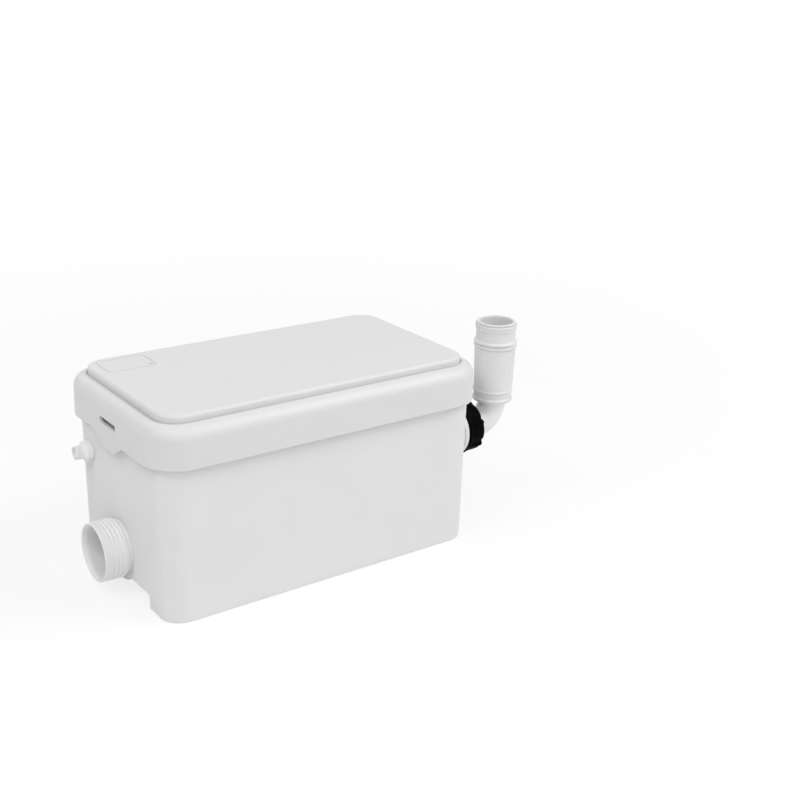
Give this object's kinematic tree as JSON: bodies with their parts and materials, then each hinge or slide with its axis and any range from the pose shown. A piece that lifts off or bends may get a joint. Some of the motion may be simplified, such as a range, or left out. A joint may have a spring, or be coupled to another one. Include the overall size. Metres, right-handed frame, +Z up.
{
  "type": "sewage lifting unit",
  "caption": "Compact floor-standing sewage lifting unit: a lidded tank with a threaded inlet, a vent, an immersed motor pump, flap valves and a swivelling discharge elbow.",
  "frame": {"origin": "on the floor under the middle of the tank's base rim", "axes": "+X along the tank's length towards the discharge end, +Y towards the rear wall with the cable gland, +Z up"},
  "size_m": [0.3748, 0.1745, 0.1795],
  "materials": {
    "pale_plastic": "fine satin moulded finish",
    "grey_plastic": "satin moulded finish",
    "black_plastic": "satin moulded finish",
    "impeller_plastic": "smooth",
    "rubber": "matt",
    "steel": "zinc plated",
    "stainless": "bright",
    "lamination": "dull stacked sheet",
    "copper": "enamelled wire",
    "cast_aluminium": "as cast",
    "carbon": "open foam",
    "lead_cover": "smooth",
    "capacitor_case": "smooth",
    "terminal": "smooth"
  },
  "bodies": {
    "unit": {"tank": "pale_plastic", "inlet_spigot": "pale_plastic", "vent_spigot": "pale_plastic", "outlet_fitting": "pale_plastic", "inlet_seal": "rubber", "outlet_seal": "rubber", "union_washer": "rubber", "tray_gasket": "rubber", "motor_gasket": "rubber", "riser_hose": "rubber", "switch_diaphragm": "rubber", "shaft_seal": "rubber", "inlet_flap_pin": "stainless", "outlet_flap_pin": "stainless", "hose_clips": "stainless", "tray_screws": "steel", "motor_screws": "steel", "pump_screws": "steel", "lower_bearing": "steel", "upper_bearing": "steel", "capacitor_clip": "steel", "stator_core": "lamination", "stator_windings": "copper", "motor_housing": "cast_aluminium", "motor_cap": "cast_aluminium", "electrics_tray": "grey_plastic", "volute": "grey_plastic", "pump_plate": "grey_plastic", "suction_strainer": "grey_plastic", "outlet_backnut": "grey_plastic", "pressure_bell": "grey_plastic", "switch_base": "grey_plastic", "switch_cover": "grey_plastic", "microswitch": "black_plastic", "capacitor": "capacitor_case", "terminal_block": "terminal", "motor_lead": "lead_cover", "capacitor_lead": "lead_cover", "switch_lead": "lead_cover", "cable_gland": "black_plastic", "gland_nut": "black_plastic"},
    "lid": {"lid": "pale_plastic", "carbon_filter": "carbon"},
    "filter_cover": {"filter_cover": "pale_plastic"},
    "rotor": {"motor_shaft": "stainless", "rotor_core": "lamination", "impeller": "impeller_plastic", "impeller_nut": "stainless"},
    "inlet_flap": {"inlet_flap": "rubber"},
    "outlet_flap": {"outlet_flap": "rubber"},
    "discharge": {"discharge_elbow": "pale_plastic", "discharge_sleeve": "pale_plastic"},
    "union_nut": {"union_nut": "black_plastic"},
    "switch_plunger": {"switch_plunger": "black_plastic"},
    "microswitch_button": {"microswitch_button": "terminal"}
  },
  "joints": [
    {"name": "lid_lift", "type": "slide", "parent": "unit", "child": "lid", "axis": [0, 0, 1], "range_m": [0, 0.06]},
    {"name": "filter_cover_lift", "type": "slide", "parent": "lid", "child": "filter_cover", "axis": [0, 0, 1], "range_m": [0, 0.02]},
    {"name": "rotor_spin", "type": "hinge", "parent": "unit", "child": "rotor", "pos_m": [0.01892, -0.0115, 0.09], "axis": [0, 0, 1], "continuous": true},
    {"name": "inlet_flap_swing", "type": "hinge", "parent": "unit", "child": "inlet_flap", "pos_m": [-0.1197, 0.0043, 0.0582], "axis": [0, -1, 0], "range_deg": [0, 60]},
    {"name": "outlet_flap_swing", "type": "hinge", "parent": "unit", "child": "outlet_flap", "pos_m": [0.12972, -0.0455, 0.0997], "axis": [0, -1, 0], "range_deg": [0, 55]},
    {"name": "discharge_swivel", "type": "hinge", "parent": "unit", "child": "discharge", "pos_m": [0.16, -0.0455, 0.0877], "axis": [1, 0, 0], "range_deg": [-90, 90]},
    {"name": "union_nut_turn", "type": "hinge", "parent": "discharge", "child": "union_nut", "pos_m": [0.158, -0.0455, 0.0877], "axis": [1, 0, 0], "range_deg": [0, 540]},
    {"name": "plunger_lift", "type": "slide", "parent": "unit", "child": "switch_plunger", "axis": [0, 0, 1], "range_m": [0, 0.0012], "stiffness_N_per_m": 100, "springref_m": -0.001},
    {"name": "button_press", "type": "slide", "parent": "unit", "child": "microswitch_button", "axis": [0, 0, 1], "range_m": [0, 0.0012]}
  ],
  "couplings": [
    {"joint": "button_press", "follows": "plunger_lift", "ratio": 1}
  ]
}
